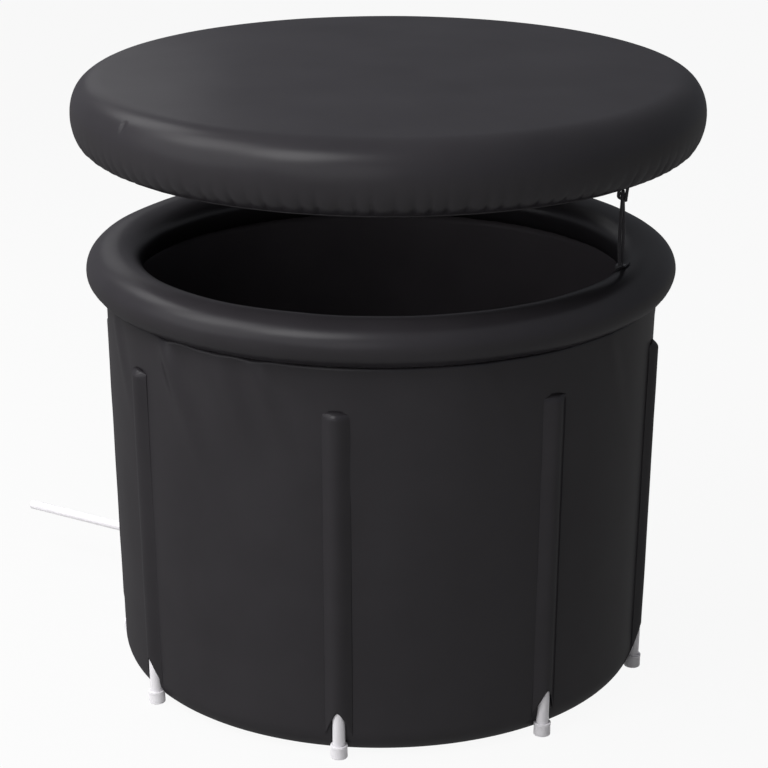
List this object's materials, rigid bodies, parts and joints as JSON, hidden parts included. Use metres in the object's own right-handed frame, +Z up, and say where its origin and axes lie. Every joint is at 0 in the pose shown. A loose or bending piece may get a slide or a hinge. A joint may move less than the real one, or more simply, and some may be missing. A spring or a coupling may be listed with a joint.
{
  "type": "cold plunge tub",
  "caption": "Round soft-walled cold plunge tub with an inflated rim, pole sleeves, an inflated tethered lid and a drain valve with a pipe.",
  "frame": {"origin": "on the tub's axis, on the flat underside of the floor panel", "axes": "+Z up along the tub's axis, -Y towards the front of the wall, -X along the drain pipe"},
  "size_m": [1.2733, 1.009, 0.9975],
  "materials": {
    "black_laminate": "satin",
    "black_liner": "matte",
    "pale_foam": "matte",
    "white_plastic": "satin",
    "black_plastic": "satin",
    "black_cord": "matte",
    "grey_rubber": "matte"
  },
  "bodies": {
    "tub": {"outer_skin": "black_laminate", "floor_panel": "black_laminate", "rim_tube": "black_laminate", "pole_sleeve_1": "black_laminate", "pole_sleeve_2": "black_laminate", "pole_sleeve_3": "black_laminate", "pole_sleeve_4": "black_laminate", "pole_sleeve_5": "black_laminate", "pole_sleeve_6": "black_laminate", "pole_sleeve_7": "black_laminate", "pole_sleeve_8": "black_laminate", "rim_anchor_patch": "black_laminate", "inner_liner": "black_liner", "wall_foam": "pale_foam", "floor_foam": "pale_foam", "support_pole_1": "white_plastic", "support_pole_2": "white_plastic", "support_pole_3": "white_plastic", "support_pole_4": "white_plastic", "support_pole_5": "white_plastic", "support_pole_6": "white_plastic", "support_pole_7": "white_plastic", "support_pole_8": "white_plastic", "foot_cap_1": "white_plastic", "foot_cap_2": "white_plastic", "foot_cap_3": "white_plastic", "foot_cap_4": "white_plastic", "foot_cap_5": "white_plastic", "foot_cap_6": "white_plastic", "foot_cap_7": "white_plastic", "foot_cap_8": "white_plastic", "drain_pipe": "white_plastic", "drain_valve_body": "white_plastic", "rim_valve_base": "black_plastic", "rim_anchor_bar": "black_plastic", "drain_flange": "black_plastic", "drain_strainer": "black_plastic", "drain_lock_nut": "black_plastic", "tether_cord": "black_cord", "drain_inner_gasket": "grey_rubber", "drain_outer_gasket": "grey_rubber"},
    "lid": {"lid_top": "black_laminate", "lid_bottom": "black_laminate", "lid_web_inner": "black_liner", "lid_web_outer": "black_liner", "lid_valve_base": "black_plastic", "lid_loop": "black_cord"},
    "toggle": {"toggle_bar": "black_plastic"},
    "rim_cap": {"rim_valve_cap": "black_plastic"},
    "lid_cap": {"lid_valve_cap": "black_plastic"},
    "lever": {"drain_lever": "black_plastic", "drain_stem": "white_plastic", "drain_ball": "white_plastic"}
  },
  "joints": [
    {"name": "lid_lift", "type": "slide", "parent": "tub", "child": "lid", "axis": [0, 0, 1], "range_m": [-0.1625, 0], "deforming": ["tether_cord", "lid_loop"]},
    {"name": "toggle_drop", "type": "slide", "parent": "tub", "child": "toggle", "axis": [-0.2948, -0.052, -0.9541], "range_m": [0, 0.1339]},
    {"name": "rim_cap_pull", "type": "slide", "parent": "tub", "child": "rim_cap", "axis": [0, 1, 0], "range_m": [0, 0.025]},
    {"name": "lid_cap_pull", "type": "slide", "parent": "lid", "child": "lid_cap", "axis": [0, 0, -1], "range_m": [0, 0.025]},
    {"name": "drain_lever_turn", "type": "hinge", "parent": "tub", "child": "lever", "pos_m": [-0.47384, 0, 0.092], "axis": [0, 0, 1], "range_deg": [0, 90]}
  ],
  "couplings": [
    {"joint": "toggle_drop", "follows": "lid_lift", "ratio": -0.8223}
  ]
}
